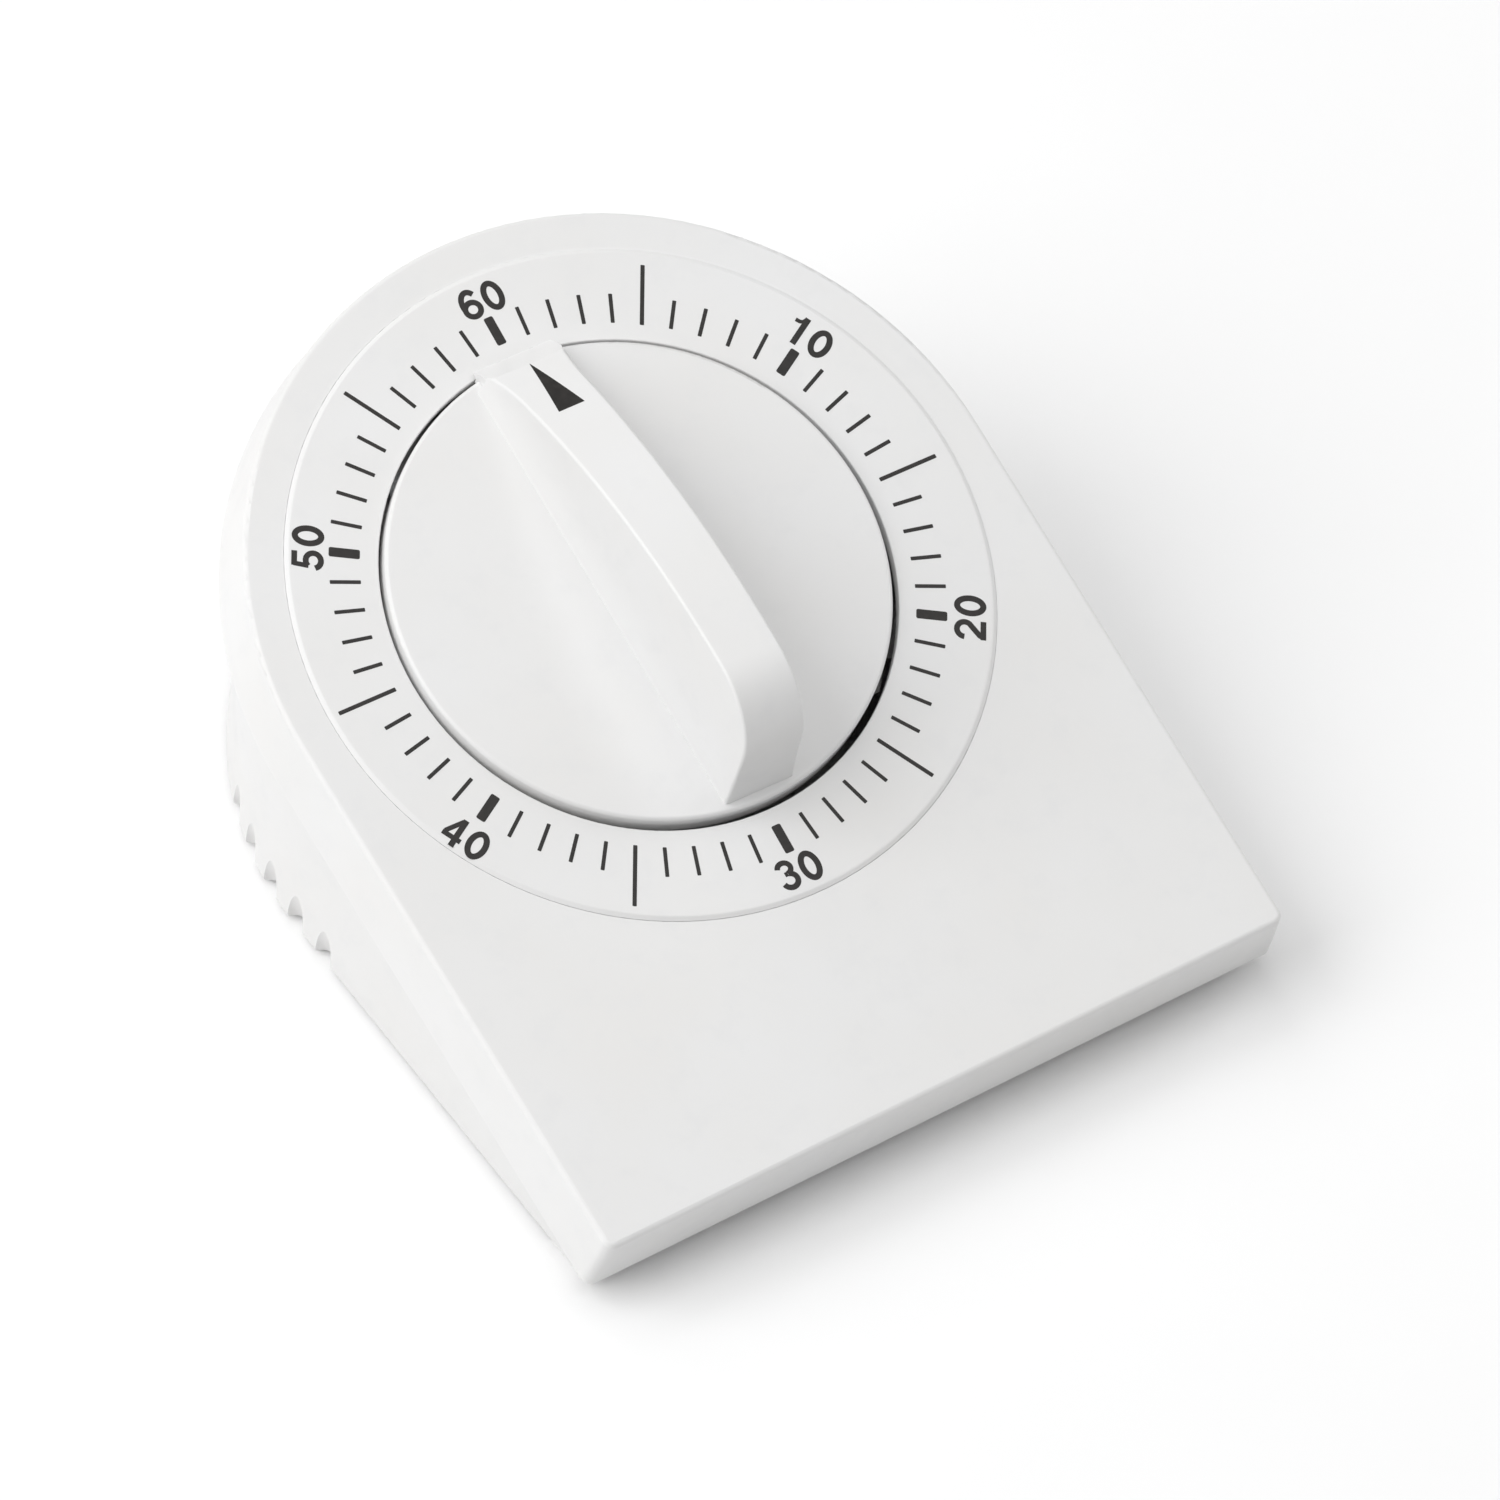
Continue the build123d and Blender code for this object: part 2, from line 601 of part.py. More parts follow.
wheels = [
    ("second", second_spot, modules[1], second_wheel_low, 0.80),
    ("third", third_spot, modules[2], third_wheel_low, 0.75),
]
for name, spot, module, low, arbor_radius in wheels:
    with BuildPart() as wheel:
        wheel_blank(low, low + 0.6, wheel_teeth, module, 0, spot, arbor_radius + bore_play)
    wheel.part.label = f"{name}_wheel"
    export_step(wheel.part, f"parts/{name}_wheel.step")

# ---- escape wheel: pointed teeth on a rim, one of them facing the anchor at rest
with BuildPart() as escape_wheel:
    with BuildSketch(level(escape_wheel_low, *escape_spot, turn=anchor_heading)):
        Circle(escape_radius - 1.2)
        with BuildLine():
            Polyline((4.6, -0.55), (escape_radius, -0.12), (escape_radius, 0.12), (4.6, 0.55), close=True)
        tooth = make_face(mode=Mode.PRIVATE)
        with PolarLocations(0, escape_teeth):
            add(tooth)
        Circle(0.6 + bore_play, mode=Mode.SUBTRACT)
        with PolarLocations(2.6, 5):
            Circle(1.1, mode=Mode.SUBTRACT)
    extrude(amount=0.5)
escape_wheel.part.label = "escape_wheel"
export_step(escape_wheel.part, "parts/escape_wheel.step")

# ---- pin-pallet anchor: lever, its two steel pins, its arbor and the bar that times it
pin_radius = 0.22
pin_clearance = 0.09  # pins to the tips of the teeth, with the anchor in the middle
pin_span = 30  # degrees either side of the line of centres
pin_reach = escape_radius + pin_radius + pin_clearance
pin_spots = [step_along(escape_spot, pin_reach, anchor_heading + side * pin_span) for side in (-1, 1)]
anchor_radius = 0.5


def bar(start, end, width):
    """Draw a round-ended bar between two points in the open sketch."""
    run = (end[0] - start[0], end[1] - start[1])
    length = (run[0] ** 2 + run[1] ** 2) ** 0.5
    with Locations(((start[0] + end[0]) / 2, (start[1] + end[1]) / 2)):
        SlotCenterToCenter(length, width, rotation=degrees(atan2(run[1], run[0])))


with BuildPart() as pallet_anchor:
    with BuildSketch(level(anchor_low)):
        for pin in pin_spots:
            bar(anchor_spot, pin, 1.0)
        with Locations(anchor_spot):
            Circle(1.3)
            Circle(anchor_radius + bore_play, mode=Mode.SUBTRACT)
        with Locations(*pin_spots):
            Circle(pin_radius, mode=Mode.SUBTRACT)
    extrude(amount=0.6)
pallet_anchor.part.label = "pallet_anchor"
export_step(pallet_anchor.part, "parts/pallet_anchor.step")

with BuildPart() as pallet_pins:
    for pin in pin_spots:
        disc(anchor_low, escape_wheel_low + 0.8, pin_radius, pin)
pallet_pins.part.label = "pallet_pins"
export_step(pallet_pins.part, "parts/pallet_pins.step")

with BuildPart() as anchor_arbor:
    disc(rear_plate_high + 0.1, front_plate_low - 0.1, anchor_radius, anchor_spot)
    disc(rear_plate_low, front_plate_high, pivots[anchor_spot], anchor_spot)
anchor_arbor.part.label = "anchor_arbor"
export_step(anchor_arbor.part, "parts/anchor_arbor.step")

bar_ends = [step_along(anchor_spot, side * 6.5, anchor_heading + 90) for side in (-1, 1)]
with BuildPart() as inertia_bar:
    with BuildSketch(level(bar_low)):
        bar(*bar_ends, 1.6)
        with Locations(*bar_ends):
            Circle(2.1)
        with Locations(anchor_spot):
            Circle(anchor_radius + bore_play, mode=Mode.SUBTRACT)
    extrude(amount=0.8)
inertia_bar.part.label = "inertia_bar"
export_step(inertia_bar.part, "parts/inertia_bar.step")

# ---- hammer: arbor through the rear plate, a follower on the cam and an arm with its head
hammer_arbor_radius = 0.9
arm_low = -20.3
follower_play = 0.12  # nose to the cam's rim
head_radius = 1.7
bell_radius = 15.0
head_gap = 2.0  # head to bell with the nose on the rim
head_heading = 200
nose_spot = (-cam_radius - follower_play - 0.5, -0.1)
head_spot = step_along(bell_spot, bell_radius + head_gap + head_radius, head_heading)
with BuildPart() as hammer_arbor:
    disc(arm_low - 0.3, front_plate_low - 0.1, hammer_arbor_radius, hammer_spot)
    disc(front_plate_low - 0.1, front_plate_high, 0.5, hammer_spot)
hammer_arbor.part.label = "hammer_arbor"
export_step(hammer_arbor.part, "parts/hammer_arbor.step")

with BuildPart() as cam_follower:
    with BuildSketch(level(cam_low)):
        bar(hammer_spot, (nose_spot[0] - 1.6, -2.2), 1.5)
        bar((nose_spot[0] - 1.6, -2.2), nose_spot, 1.0)
        with Locations(hammer_spot):
            Circle(2.0)
            Circle(hammer_arbor_radius + bore_play, mode=Mode.SUBTRACT)
    extrude(amount=0.8)
cam_follower.part.label = "cam_follower"
export_step(cam_follower.part, "parts/cam_follower.step")

with BuildPart() as hammer_arm:
    with BuildSketch(level(arm_low)):
        bar(hammer_spot, head_spot, 2.2)
        with Locations(hammer_spot):
            Circle(2.2)
            Circle(hammer_arbor_radius + bore_play, mode=Mode.SUBTRACT)
    extrude(amount=0.8)
hammer_arm.part.label = "hammer_arm"
export_step(hammer_arm.part, "parts/hammer_arm.step")

with BuildPart() as hammer_head:
    disc(arm_low - 2.6, arm_low, head_radius, head_spot)
hammer_head.part.label = "hammer_head"
export_step(hammer_head.part, "parts/hammer_head.step")

# ---- hammer spring: a wire coil round the arbor with one leg resting by a pillar
wire_radius = 0.16
coil_radius = 1.5
coil_pitch = 0.5
coil_height = 2.0
with BuildPart() as hammer_spring:
    coil_plane = level(front_plate_low - 3.4, *hammer_spot)
    with BuildLine() as coil:
        Helix(coil_pitch, coil_height, coil_radius, center=coil_plane.origin, direction=face.z_dir)
    with BuildSketch(Plane(origin=coil.line @ 0, z_dir=coil.line % 0)):
        Circle(wire_radius)
    sweep(path=coil.line, is_frenet=True)
hammer_spring.part.label = "hammer_spring"
export_step(hammer_spring.part, "parts/hammer_spring.step")

# ---- bell: a thin dome, mouth towards the rear plate, on a post with a screw
bell_rim = -20.3
bell_crown = -26.0
bell_thickness = 0.7
bell_plane = Plane(level(0, *bell_spot).location * Location((0, 0, 0), (90, 0, 0)))
with BuildPart() as bell:
    with BuildSketch(bell_plane):
        with BuildLine():
            ThreePointArc((bell_radius, bell_rim), (11.3, -24.4), (3.2, bell_crown))
            Line((3.2, bell_crown), (1.1, bell_crown))
            Line((1.1, bell_crown), (1.1, bell_crown + bell_thickness))
            Line((1.1, bell_crown + bell_thickness), (3.0, bell_crown + bell_thickness))
            inner_rim = (bell_radius - bell_thickness, bell_rim)
            ThreePointArc((3.0, bell_crown + bell_thickness), (10.8, -23.8), inner_rim)
            Line(inner_rim, (bell_radius, bell_rim))
        make_face()
    revolve(axis=Axis(bell_plane.origin, face.z_dir))
bell.part.label = "bell"
export_step(bell.part, "parts/bell.step")

with BuildPart() as bell_post:
    disc(bell_crown + bell_thickness, rear_plate_low, 2.2, bell_spot)
    disc(rear_plate_low, rear_plate_high, 1.2, bell_spot)
    disc(bell_crown + bell_thickness, bell_crown + 4.6, 0.95, bell_spot, Mode.SUBTRACT)
bell_post.part.label = "bell_post"
export_step(bell_post.part, "parts/bell_post.step")

with BuildPart() as bell_screw:
    screw(bell_crown - 1.1, bell_crown, 2.2, bell_crown, bell_crown + 4.2, 0.9, bell_spot)
bell_screw.part.label = "bell_screw"
export_step(bell_screw.part, "parts/bell_screw.step")
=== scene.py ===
import json
import math

import bmesh
import bpy
from mathutils import Matrix, Vector
from mathutils.bvhtree import BVHTree


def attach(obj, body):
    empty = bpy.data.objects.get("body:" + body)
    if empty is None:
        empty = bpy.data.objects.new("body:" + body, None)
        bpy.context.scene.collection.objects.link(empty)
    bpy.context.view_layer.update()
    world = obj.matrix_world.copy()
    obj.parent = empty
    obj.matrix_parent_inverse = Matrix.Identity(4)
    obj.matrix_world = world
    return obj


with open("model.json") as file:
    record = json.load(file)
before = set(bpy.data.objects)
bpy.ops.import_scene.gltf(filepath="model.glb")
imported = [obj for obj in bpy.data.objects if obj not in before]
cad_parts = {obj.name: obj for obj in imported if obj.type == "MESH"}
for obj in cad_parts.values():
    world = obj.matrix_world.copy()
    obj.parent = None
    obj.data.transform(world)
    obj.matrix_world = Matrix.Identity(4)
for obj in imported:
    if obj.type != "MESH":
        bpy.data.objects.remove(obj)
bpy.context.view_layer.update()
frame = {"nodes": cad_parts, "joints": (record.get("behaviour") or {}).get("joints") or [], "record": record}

nodes = frame["nodes"]
joints = {joint["name"]: joint for joint in frame["joints"]}
MM = 0.001

# ---- the face's own axes: x to the right, v up the slope, n out of the face
n_axis = Vector(joints["knob_turn"]["axis"]).normalized()
x_axis = Vector((1, 0, 0))
v_axis = n_axis.cross(x_axis)
arbor = Vector(joints["knob_turn"]["pos_m"])


def reach(node):
    """How far a node reaches along the face's normal, from the knob's joint point."""
    return max((vertex.co - arbor).dot(n_axis) for vertex in nodes[node].data.vertices)


ring_top = reach("dial_ring")
print_right, print_up = 0.12 * MM, -0.06 * MM  # the print's middle from the knob's axis
print_centre = arbor + x_axis * print_right + v_axis * print_up + n_axis * ring_top
dial_turn = math.radians(-2.2)  # the printed ring and the knob sit turned by this much
right_axis = x_axis * math.cos(dial_turn) + v_axis * math.sin(dial_turn)
up_axis = n_axis.cross(right_axis)


def on_dial(right, up, height=0.0):
    """A point given by its place on the printed ring and its height above the print."""
    return print_centre + right_axis * right + up_axis * up + n_axis * height


# ---- materials: every one is procedural, in the frame's own metres
def link(tree, source, target):
    tree.links.new(source, target)


def node(tree, kind, **inputs):
    """Add a shader node and set its sockets by name."""
    made = tree.nodes.new("ShaderNode" + kind)
    for name, value in inputs.items():
        made.inputs[name.replace("_", " ")].default_value = value
    return made


def ramp(tree, source, low, high, start=0.0, end=1.0):
    """Map a factor from start..end onto low..high."""
    made = node(tree, "MapRange", From_Min=start, From_Max=end, To_Min=low, To_Max=high)
    link(tree, source, made.inputs["Value"])
    return made.outputs["Result"]


def tint(tree, factor, first, second):
    """Blend two colours by a factor."""
    made = tree.nodes.new("ShaderNodeMix")
    made.data_type = "RGBA"
    link(tree, factor, made.inputs["Factor"])
    for socket, colour in (("A", first), ("B", second)):
        target = [s for s in made.inputs if s.name == socket and s.type == "RGBA"][0]
        if hasattr(colour, "is_output"):
            link(tree, colour, target)
        else:
            target.default_value = (*colour, 1)
    return [s for s in made.outputs if s.type == "RGBA"][0]


def start_material(name):
    made = bpy.data.materials.new(name)
    made.use_nodes = True
    tree = made.node_tree
    shader = tree.nodes["Principled BSDF"]
    place = tree.nodes.new("ShaderNodeTexCoord").outputs["Object"]
    return made, tree, shader, place


def noise(tree, place, scale, detail=3.0, roughness=0.5):
    made = node(tree, "TexNoise", Scale=scale, Detail=detail, Roughness=roughness)
    link(tree, place, made.inputs["Vector"])
    return made.outputs["Fac"]


def edge_mask(tree, radius):
    """1 along sharp and rounded edges, 0 on open surfaces."""
    bevel = node(tree, "Bevel", Radius=radius)
    bevel.samples = 6
    flat = tree.nodes.new("ShaderNodeNewGeometry").outputs["Normal"]
    dot = tree.nodes.new("ShaderNodeVectorMath")
    dot.operation = "DOT_PRODUCT"
    link(tree, bevel.outputs["Normal"], dot.inputs[0])
    link(tree, flat, dot.inputs[1])
    return ramp(tree, dot.outputs["Value"], 0.0, 1.0, start=0.995, end=0.90)


def plastic(name, colour, roughness, grain, depth, edge_gloss=0.08):
    """Moulded ABS: fine spark texture, slight cloudiness, edges rubbed smoother and brighter."""
    made, tree, shader, place = start_material(name)
    cloud = noise(tree, place, 55.0, 2.0)
    grime = noise(tree, place, 260.0, 5.0, 0.62)
    spark = noise(tree, place, grain, 2.0, 0.7)
    waves = noise(tree, place, 90.0, 1.0)
    warm = tuple(c * s for c, s in zip(colour, (0.985, 0.978, 0.966)))
    base = tint(tree, ramp(tree, cloud, 0.0, 1.0, 0.3, 0.7), colour, warm)
    handled = tuple(c * 0.955 for c in colour)
    base = tint(tree, ramp(tree, grime, 0.0, 0.55, 0.52, 0.72), base, handled)
    worn = edge_mask(tree, 0.45 * MM)
    polished = tuple(min(1.0, c * 1.03) for c in colour)
    base = tint(tree, ramp(tree, worn, 0.0, 0.6), base, polished)
    link(tree, base, shader.inputs["Base Color"])
    rough = tree.nodes.new("ShaderNodeMath")
    rough.operation = "SUBTRACT"
    link(tree, ramp(tree, grime, roughness - 0.05, roughness + 0.07, 0.35, 0.65), rough.inputs[0])
    link(tree, ramp(tree, worn, 0.0, edge_gloss), rough.inputs[1])
    link(tree, rough.outputs["Value"], shader.inputs["Roughness"])
    sink = node(tree, "Bump", Strength=0.5, Distance=0.02 * MM)
    link(tree, waves, sink.inputs["Height"])
    skin = node(tree, "Bump", Strength=0.7, Distance=depth)
    link(tree, spark, skin.inputs["Height"])
    link(tree, sink.outputs["Normal"], skin.inputs["Normal"])
    link(tree, skin.outputs["Normal"], shader.inputs["Normal"])
    shader.inputs["IOR"].default_value = 1.5
    shader.inputs["Specular IOR Level"].default_value = 0.4
    return made


def metal(name, colour, roughness, stretch, tarnish):
    """Rolled, turned or plated metal: drawn-out grain, tarnish in clouds, brighter edges."""
    made, tree, shader, place = start_material(name)
    drawn = node(tree, "Mapping", Scale=stretch)
    link(tree, place, drawn.inputs["Vector"])
    grain = noise(tree, drawn.outputs["Vector"], 900.0, 4.0, 0.6)
    cloud = noise(tree, place, 180.0, 4.0)
    base = tint(tree, ramp(tree, cloud, 0.0, 1.0, 0.35, 0.7), colour, tarnish)
    worn = edge_mask(tree, 0.15 * MM)
    bright = tuple(min(1.0, c * 1.2) for c in colour)
    base = tint(tree, ramp(tree, worn, 0.0, 0.8), base, bright)
    link(tree, base, shader.inputs["Base Color"])
    shader.inputs["Metallic"].default_value = 1.0
    link(tree, ramp(tree, grain, roughness - 0.08, roughness + 0.12, 0.3, 0.7), shader.inputs["Roughness"])
    skin = node(tree, "Bump", Strength=0.35, Distance=0.01 * MM)
    link(tree, grain, skin.inputs["Height"])
    link(tree, skin.outputs["Normal"], shader.inputs["Normal"])
    return made


def ink(name, colour):
    """Pad-printed ink: nearly black, a little uneven in gloss and cover."""
    made, tree, shader, place = start_material(name)
    cover = noise(tree, place, 1500.0, 3.0)
    thin = tuple(c * 1.6 + 0.004 for c in colour)
    base = tint(tree, ramp(tree, cover, 0.0, 1.0, 0.4, 0.75), colour, thin)
    link(tree, base, shader.inputs["Base Color"])
    link(tree, ramp(tree, cover, 0.42, 0.56, 0.3, 0.7), shader.inputs["Roughness"])
    skin = node(tree, "Bump", Strength=0.3, Distance=0.004 * MM)
    link(tree, cover, skin.inputs["Height"])
    link(tree, skin.outputs["Normal"], shader.inputs["Normal"])
    return made


white = (0.80, 0.80, 0.80)
round_stretch, flat_stretch = (1, 1, 1), (0.08, 1, 1)
shell_white = plastic("shell_white", white, 0.42, 5200.0, 0.012 * MM)
base_white = plastic("base_white", tuple(0.985 * c for c in white), 0.48, 4600.0, 0.014 * MM)
knob_white = plastic("knob_white", white, 0.36, 6400.0, 0.006 * MM)
ring_white = plastic("ring_white", white, 0.46, 5600.0, 0.006 * MM)
print_ink = ink("print_ink", (0.012, 0.010, 0.009))
zinc = metal("zinc", (0.66, 0.68, 0.70), 0.34, round_stretch, (0.55, 0.57, 0.58))
blued = metal("blued_steel", (0.20, 0.22, 0.28), 0.30, flat_stretch, (0.30, 0.27, 0.24))
turned = metal("turned_steel", (0.60, 0.60, 0.61), 0.26, flat_stretch, (0.50, 0.49, 0.47))
sheet = metal("sheet_steel", (0.64, 0.64, 0.64), 0.38, flat_stretch, (0.54, 0.54, 0.53))
brass = metal("brass", (0.78, 0.58, 0.24), 0.28, round_stretch, (0.62, 0.44, 0.18))
nickel = metal("nickel", (0.74, 0.72, 0.68), 0.18, round_stretch, (0.66, 0.63, 0.58))

by_slot = {
    "white_abs": shell_white,
    "white_abs_base": base_white,
    "white_abs_knob": knob_white,
    "white_dial": ring_white,
    "zinc_steel": zinc,
    "spring_steel": blued,
    "turned_steel": turned,
    "plate_steel": sheet,
    "brass": brass,
    "bell_steel": nickel,
}
for part in frame["record"]["subparts"]:
    mesh = nodes[part["node"]].data
    mesh.materials.clear()
    mesh.materials.append(by_slot[part["material_slot"]])

# ---- printing on the dial: all lengths in units of the radius through the ticks' middles
UNIT = 28.5 * MM
ink_low, ink_high = -0.004 * MM, 0.014 * MM


def prism(name, outlines, material, body, place):
    """One piece made of flat-topped prisms, each from the outline that it is given."""
    mesh = bmesh.new()
    for outline in outlines:
        low = [mesh.verts.new(place(x, y, ink_low)) for x, y in outline]
        high = [mesh.verts.new(place(x, y, ink_high)) for x, y in outline]
        mesh.faces.new(high)
        mesh.faces.new(low[::-1])
        for k in range(len(outline)):
            after = (k + 1) % len(outline)
            mesh.faces.new((low[k], low[after], high[after], high[k]))
    data = bpy.data.meshes.new(name)
    mesh.normal_update()
    mesh.to_mesh(data)
    mesh.free()
    data.materials.append(material)
    piece = bpy.data.objects.new(name, data)
    bpy.context.scene.collection.objects.link(piece)
    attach(piece, body)


def turned_by(angle, across, along):
    """A point along and across a ray that stands clockwise of the dial's top by an angle."""
    cos, sin = math.cos(angle), math.sin(angle)
    return (across * cos + along * sin, along * cos - across * sin)


def rounded_bar(angle, inner, outer, width):
    """The outline of a tick with slightly rounded corners."""
    corner = 0.18 * width
    half, points = width / 2, []
    for side_x, end, first in ((1, outer, 0), (-1, outer, 90), (-1, inner, 180), (1, inner, 270)):
        centre_x = side_x * (half - corner)
        centre_y = end - corner if end == outer else end + corner
        for step in range(4):
            at = math.radians(first + 30 * step)
            x, y = centre_x + corner * math.cos(at), centre_y + corner * math.sin(at)
            points.append(turned_by(angle, x, y))
    return points


# inner end, outer end and width of each kind of tick
ten_minute_tick = (0.947, 1.053, 0.034)
five_minute_tick = (0.945, 1.165, 0.0145)
minute_tick = (0.947, 1.053, 0.0135)
ticks = []
for minute in range(60):
    if minute % 10 == 0:
        kind = ten_minute_tick
    elif minute % 5 == 0:
        kind = five_minute_tick
    else:
        kind = minute_tick
    ticks.append(rounded_bar(math.radians(6 * minute), *kind))


def at_unit(x, y, height):
    return on_dial(x * UNIT, y * UNIT, height)


prism("dial_ticks", ticks, print_ink, "case", at_unit)


# ---- figures: each is drawn with a few strokes of even width, one unit high
def bow(centre, size, start, end, steps=18):
    """Points along an oval arc between two angles."""
    angles = [math.radians(start + (end - start) * k / steps) for k in range(steps + 1)]
    return [(centre[0] + size[0] * math.cos(a), centre[1] + size[1] * math.sin(a)) for a in angles]


STROKE = 0.19
figures = {
    "0": [(bow((0.34, 0.5), (0.245, 0.405), 0, 360, 40), STROKE)],
    "1": [
        ([(0.42, 0.0), (0.42, 1.0)], STROKE),
        ([(0.10, 0.755), (0.24, 0.765), (0.34, 0.82), (0.40, 0.97)], 0.13),
    ],
    "2": [
        (bow((0.345, 0.665), (0.24, 0.24), 178, -38) + [(0.30, 0.31), (0.17, 0.19), (0.13, 0.09)], 0.18),
        ([(0.04, 0.088), (0.64, 0.088)], 0.176),
    ],
    "3": [
        (bow((0.33, 0.725), (0.215, 0.185), 168, -80), 0.17),
        (bow((0.335, 0.315), (0.24, 0.225), 80, -168), 0.18),
        ([(0.26, 0.535), (0.36, 0.535)], 0.15),
    ],
    "4": [
        ([(0.47, 0.0), (0.47, 1.0)], 0.185),
        ([(0.43, 0.93), (0.085, 0.35)], 0.15),
        ([(0.02, 0.285), (0.66, 0.285)], 0.165),
    ],
    "5": [
        ([(0.135, 0.91), (0.61, 0.91)], 0.175),
        ([(0.20, 0.93), (0.155, 0.47)], 0.155),
        (bow((0.335, 0.325), (0.245, 0.235), 137, -165), 0.18),
    ],
    "6": [
        (bow((0.345, 0.325), (0.245, 0.235), 0, 360, 32), 0.18),
        (bow((0.365, 0.5), (0.27, 0.41), 200, 42), 0.18),
    ],
}
figure_height, figure_pitch, figure_middle = 0.111, 0.0874, 0.345
stroke_step = 0.002 * MM  # each stroke of a figure stands this much above the last


def ribbon(points, width):
    """Quads along a line, with mitred joins: the outlines of a stroke of even width."""
    closed = math.dist(points[0], points[-1]) < 1e-6
    count, sides = len(points), []
    for k, point in enumerate(points):
        before = points[k - 1] if k or not closed else points[-2]
        after = points[(k + 1) % count] if k < count - 1 or not closed else points[1]
        if not closed and k == 0:
            before = point
        if not closed and k == count - 1:
            after = point
        run = Vector((after[0] - before[0], after[1] - before[1])).normalized()
        side = Vector((-run.y, run.x)) * width / 2
        sides.append(((point[0] + side.x, point[1] + side.y), (point[0] - side.x, point[1] - side.y)))
    return closed, sides


def number_piece(name, text, angle, radius, shift, tops_out):
    """A printed number as one piece, each stroke a closed band with its own sides."""
    mesh = bmesh.new()
    turn = angle if tops_out else angle + math.pi
    middle = turned_by(angle, 0, radius)
    for place, figure in enumerate(text):
        left = shift + (place - 0.5) * figure_pitch
        for rise, (points, width) in enumerate(figures[figure]):
            top = ink_high + rise * stroke_step
            closed, sides = ribbon(points, width)
            rings = []
            for pair in sides[:-1] if closed else sides:
                ring = []
                for x, y in pair:
                    across = left + (x - figure_middle) * figure_height
                    along = (y - 0.5) * figure_height
                    spot = turned_by(turn, across, along)
                    ring.append((middle[0] + spot[0], middle[1] + spot[1]))
                (ax, ay), (bx, by) = ring
                corners = ((ax, ay, ink_low), (ax, ay, top), (bx, by, top), (bx, by, ink_low))
                rings.append([mesh.verts.new(at_unit(*corner)) for corner in corners])
            last = len(rings) if closed else len(rings) - 1
            for k in range(last):
                here, there = rings[k], rings[(k + 1) % len(rings)]
                for side in range(4):
                    after = (side + 1) % 4
                    mesh.faces.new((here[side], here[after], there[after], there[side]))
            if not closed:
                mesh.faces.new(rings[0][::-1])
                mesh.faces.new(rings[-1])
    bmesh.ops.recalc_face_normals(mesh, faces=mesh.faces)
    data = bpy.data.meshes.new(name)
    mesh.to_mesh(data)
    mesh.free()
    data.materials.append(print_ink)
    piece = bpy.data.objects.new(name, data)
    bpy.context.scene.collection.objects.link(piece)
    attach(piece, "case")


numbers = [
    ("60", 0, 1.117, 0.013, True),
    ("10", 60, 1.1236, 0.0125, True),
    ("20", 120, 1.131, 0.005, False),
    ("30", 180, 1.1217, -0.005, False),
    ("40", 240, 1.138, -0.004, False),
    ("50", 300, 1.1236, 0.0055, True),
]
for text, degrees, radius, shift, tops_out in numbers:
    number_piece("dial_number_" + text, text, math.radians(degrees), radius, shift, tops_out)

# ---- pointer: a printed triangle that follows the crest of the knob's grip
knob_mesh = bmesh.new()
knob_mesh.from_mesh(nodes["knob"].data)
knob_surface = BVHTree.FromBMesh(knob_mesh)
knob_mesh.free()
above_knob = 30 * MM


def on_knob(right, up, height):
    """The point on the top of the knob under a place on the dial, raised a little."""
    start = on_dial(right * UNIT, up * UNIT, above_knob)
    hit = knob_surface.ray_cast(start, -n_axis)[0]
    return hit + n_axis * height


pointer_apex, pointer_base, pointer_half = 0.817, 0.582, 0.05
tip_cut = 0.985  # the last row stops this share of the way, so that the tip isn't a single point
rows, columns = 24, 6
mesh = bmesh.new()
grid = []
for row in range(rows + 1):
    share = min(tip_cut, row / rows)
    up = pointer_base + (pointer_apex - pointer_base) * share
    half = pointer_half * (1 - share)
    line = []
    for column in range(columns + 1):
        right = half * (2 * column / columns - 1)
        line.append([mesh.verts.new(on_knob(right, up, height)) for height in (ink_low, ink_high)])
    grid.append(line)
for row in range(rows):
    for column in range(columns):
        a, b = grid[row][column], grid[row][column + 1]
        c, d = grid[row + 1][column + 1], grid[row + 1][column]
        mesh.faces.new((a[1], b[1], c[1], d[1]))
        mesh.faces.new((d[0], c[0], b[0], a[0]))
edge = [grid[0][c] for c in range(columns + 1)] + [grid[r][columns] for r in range(1, rows + 1)]
edge += [grid[rows][c] for c in range(columns - 1, -1, -1)] + [grid[r][0] for r in range(rows - 1, 0, -1)]
for here, there in zip(edge, edge[1:] + edge[:1]):
    mesh.faces.new((here[0], there[0], there[1], here[1]))
bmesh.ops.recalc_face_normals(mesh, faces=mesh.faces)
pointer_data = bpy.data.meshes.new("knob_pointer")
mesh.to_mesh(pointer_data)
mesh.free()
pointer_data.materials.append(print_ink)
pointer = bpy.data.objects.new("knob_pointer", pointer_data)
bpy.context.scene.collection.objects.link(pointer)
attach(pointer, "knob_and_arbor")

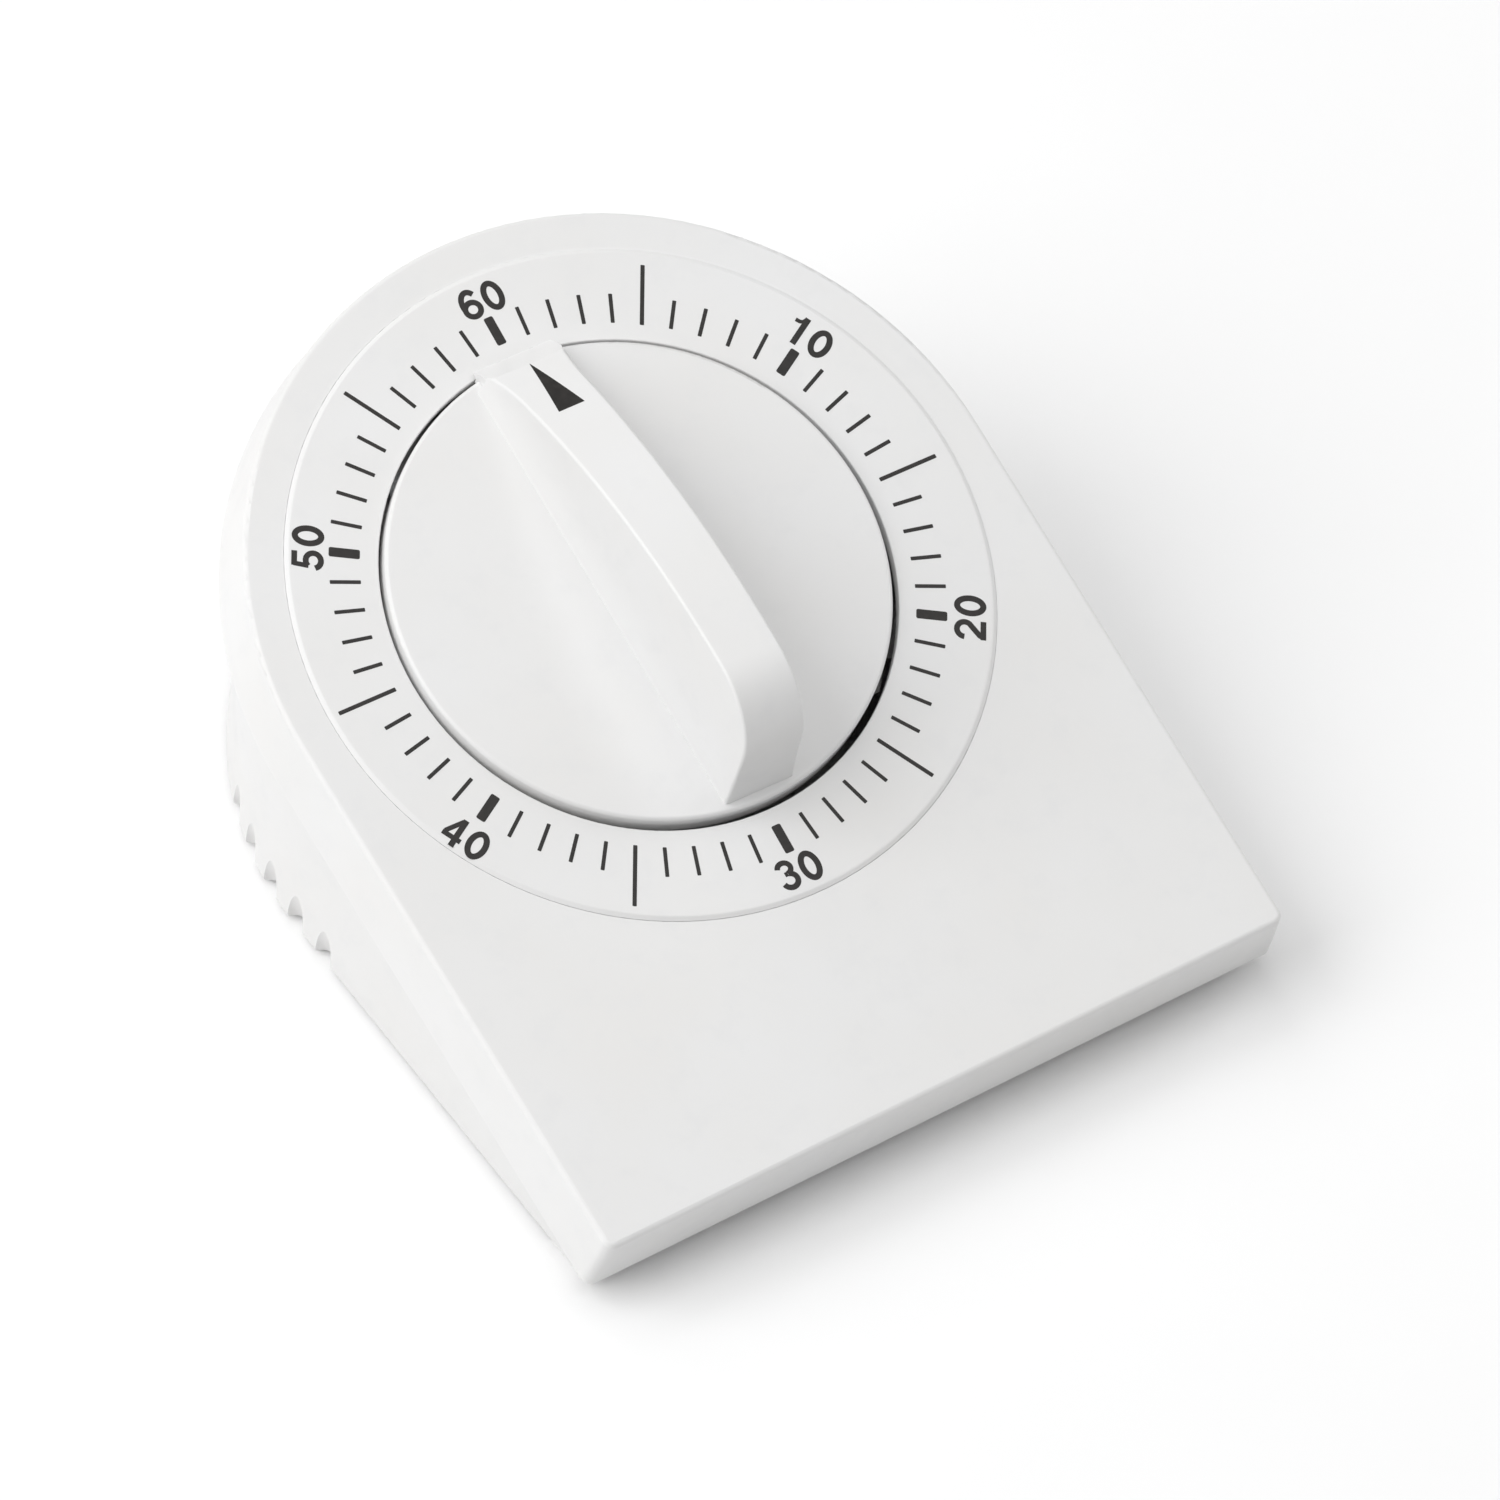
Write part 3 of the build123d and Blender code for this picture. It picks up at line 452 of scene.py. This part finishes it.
# ---- camera: a long lens from the front left, aimed so that the dial sits left of the middle
view_azimuth, view_elevation, view_roll = -39.473, 52.211, 7.212
camera_distance, focal_length = 2.85, 723.84
aim_right, aim_up = 10.528 * MM, -15.673 * MM
azimuth, elevation, roll = (math.radians(a) for a in (view_azimuth, view_elevation, view_roll))
back = Vector((
    math.sin(azimuth) * math.cos(elevation), -math.cos(azimuth) * math.cos(elevation), math.sin(elevation),
))
level_right = Vector((math.cos(azimuth), math.sin(azimuth), 0))
level_up = back.cross(level_right)
right = level_right * math.cos(roll) + level_up * math.sin(roll)
up = back.cross(right)
camera_data = bpy.data.cameras.new("camera")
camera = bpy.data.objects.new("camera", camera_data)
bpy.context.scene.collection.objects.link(camera)
spot = print_centre + right * aim_right + up * aim_up + back * camera_distance
camera.matrix_world = Matrix.Translation(spot) @ Matrix((right, up, back)).transposed().to_4x4()
camera_data.sensor_width = 36  # millimetres, as the focal length is
camera_data.lens = focal_length
camera_data.clip_start, camera_data.clip_end = 0.1, 30
bpy.context.scene.camera = camera

# ---- floor and light
floor_half = 6
floor_dark, floor_light = (0.93, 0.93, 0.93), (0.95, 0.95, 0.95)
world_strength = 0.245
lamp_distance, lamp_size = 1.2, 1.0
floor_mesh = bpy.data.meshes.new("floor")
corners = [(-floor_half, -floor_half, 0), (floor_half, -floor_half, 0), (floor_half, floor_half, 0)]
floor_mesh.from_pydata(corners + [(-floor_half, floor_half, 0)], [], [(0, 1, 2, 3)])
floor = bpy.data.objects.new("floor", floor_mesh)
bpy.context.scene.collection.objects.link(floor)
floor_material, floor_tree, floor_shader, floor_place = start_material("floor")
paper = noise(floor_tree, floor_place, 30.0, 2.0)
floor_colour = tint(floor_tree, paper, floor_dark, floor_light)
link(floor_tree, floor_colour, floor_shader.inputs["Base Color"])
floor_shader.inputs["Roughness"].default_value = 0.9
floor_mesh.materials.append(floor_material)

world = bpy.data.worlds.new("world")
bpy.context.scene.world = world
world.use_nodes = True
background = world.node_tree.nodes["Background"]
background.inputs["Color"].default_value = (1, 1, 1, 1)
background.inputs["Strength"].default_value = world_strength
bpy.context.scene.view_settings.view_transform = "Standard"


def softbox(name, x, v, n, power):
    """A square soft light, placed by its direction in the face's axes and aimed at the dial."""
    heading = (x_axis * x + v_axis * v + n_axis * n).normalized()
    data = bpy.data.lights.new(name, "AREA")
    data.energy = power
    data.size = lamp_size
    lamp = bpy.data.objects.new(name, data)
    bpy.context.scene.collection.objects.link(lamp)
    lamp.location = print_centre + heading * lamp_distance
    lamp.rotation_euler = heading.to_track_quat("Z", "Y").to_euler()


softbox("key", -0.72, 0.38, 0.58, 10.2)
softbox("back", -0.1, 0.85, 0.5, 3.05)
softbox("top", 0.0, 0.1, 1.0, 4.25)
softbox("fill", 0.85, 0.1, 0.5, 3.3)
